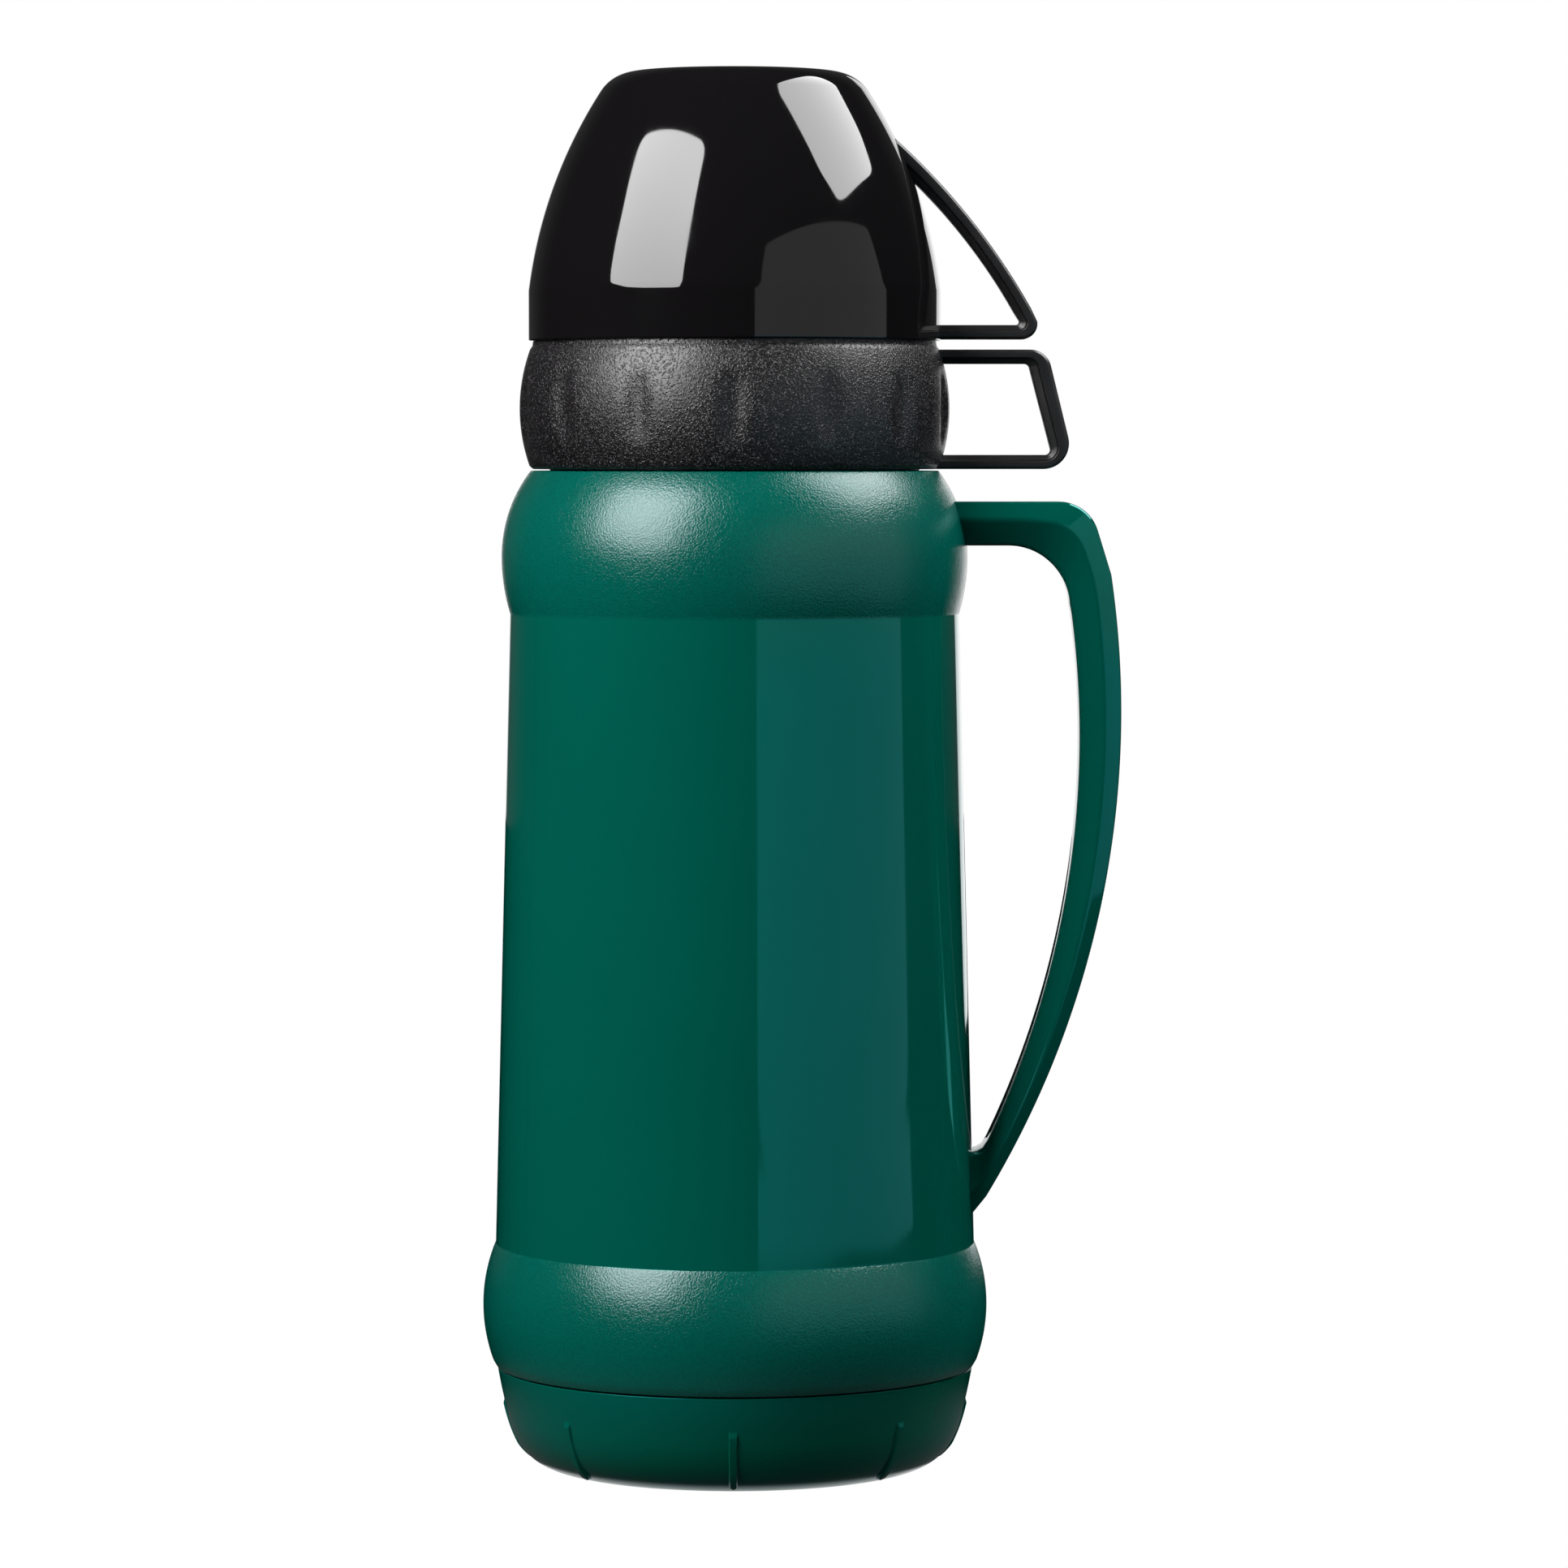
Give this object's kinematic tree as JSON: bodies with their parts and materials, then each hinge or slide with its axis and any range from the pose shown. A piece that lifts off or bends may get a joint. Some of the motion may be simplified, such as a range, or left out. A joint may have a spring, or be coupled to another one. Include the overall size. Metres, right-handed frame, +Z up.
{
  "type": "vacuum flask",
  "caption": "Glass-lined vacuum flask with a green moulded casing and loop handle, two nested black drinking cups with finger loops, a screw stopper and a screw-on base.",
  "frame": {"origin": "centre of the flat foot, on the flask's own axis", "axes": "+Z up along the flask's axis, +X towards the main handle, the front seen in use is -Y"},
  "size_m": [0.167, 0.1324, 0.3642],
  "materials": {
    "green_plastic": "glossy sleeve and handle, fine stipple on shoulder and lower bulge",
    "dark_green_plastic": "smooth satin",
    "black_rubber": "matt",
    "silvered_glass": "silvered between the walls",
    "felt": "soft",
    "black_plastic": "satin",
    "grey_plastic": "satin",
    "foam": "closed-cell foam",
    "silicone": "smooth",
    "textured_black_plastic": "coarse stipple",
    "gloss_black_plastic": "high gloss"
  },
  "bodies": {
    "casing": {"casing": "green_plastic", "neck_collar": "black_plastic", "collar_seal": "black_rubber", "neck_gasket": "black_rubber", "shoulder_cushion": "black_rubber", "glass_outer_bottle": "silvered_glass", "glass_inner_bottle": "silvered_glass", "glass_spacer_pads": "felt", "tip_protector": "black_rubber"},
    "stopper_seal": {"stopper_seal": "silicone"},
    "stopper": {"stopper_body": "grey_plastic", "stopper_knob": "black_plastic", "stopper_foam": "foam", "stopper_floor": "grey_plastic"},
    "inner_cup": {"inner_cup": "textured_black_plastic"},
    "outer_cup": {"outer_cup": "gloss_black_plastic"},
    "liner_cushion": {"liner_cushion": "black_rubber"},
    "base_cap": {"base_cap": "dark_green_plastic", "base_seal": "black_rubber"}
  },
  "joints": [
    {"name": "stopper_lift", "type": "slide", "parent": "casing", "child": "stopper_seal", "axis": [0, 0, 1], "range_m": [0, 0.1]},
    {"name": "stopper_turn", "type": "hinge", "parent": "stopper_seal", "child": "stopper", "pos_m": [0, 0, 0.28], "axis": [0, 0, 1], "range_deg": [0, 540]},
    {"name": "inner_cup_lift", "type": "slide", "parent": "stopper_seal", "child": "inner_cup", "axis": [0, 0, 1], "range_m": [0, 0.12]},
    {"name": "outer_cup_lift", "type": "slide", "parent": "inner_cup", "child": "outer_cup", "axis": [0, 0, 1], "range_m": [0, 0.1]},
    {"name": "base_lower", "type": "slide", "parent": "casing", "child": "liner_cushion", "axis": [0, 0, -1], "range_m": [0, 0.06]},
    {"name": "base_turn", "type": "hinge", "parent": "liner_cushion", "child": "base_cap", "pos_m": [0, 0, 0.02], "axis": [0, 0, 1], "range_deg": [0, 540]}
  ]
}
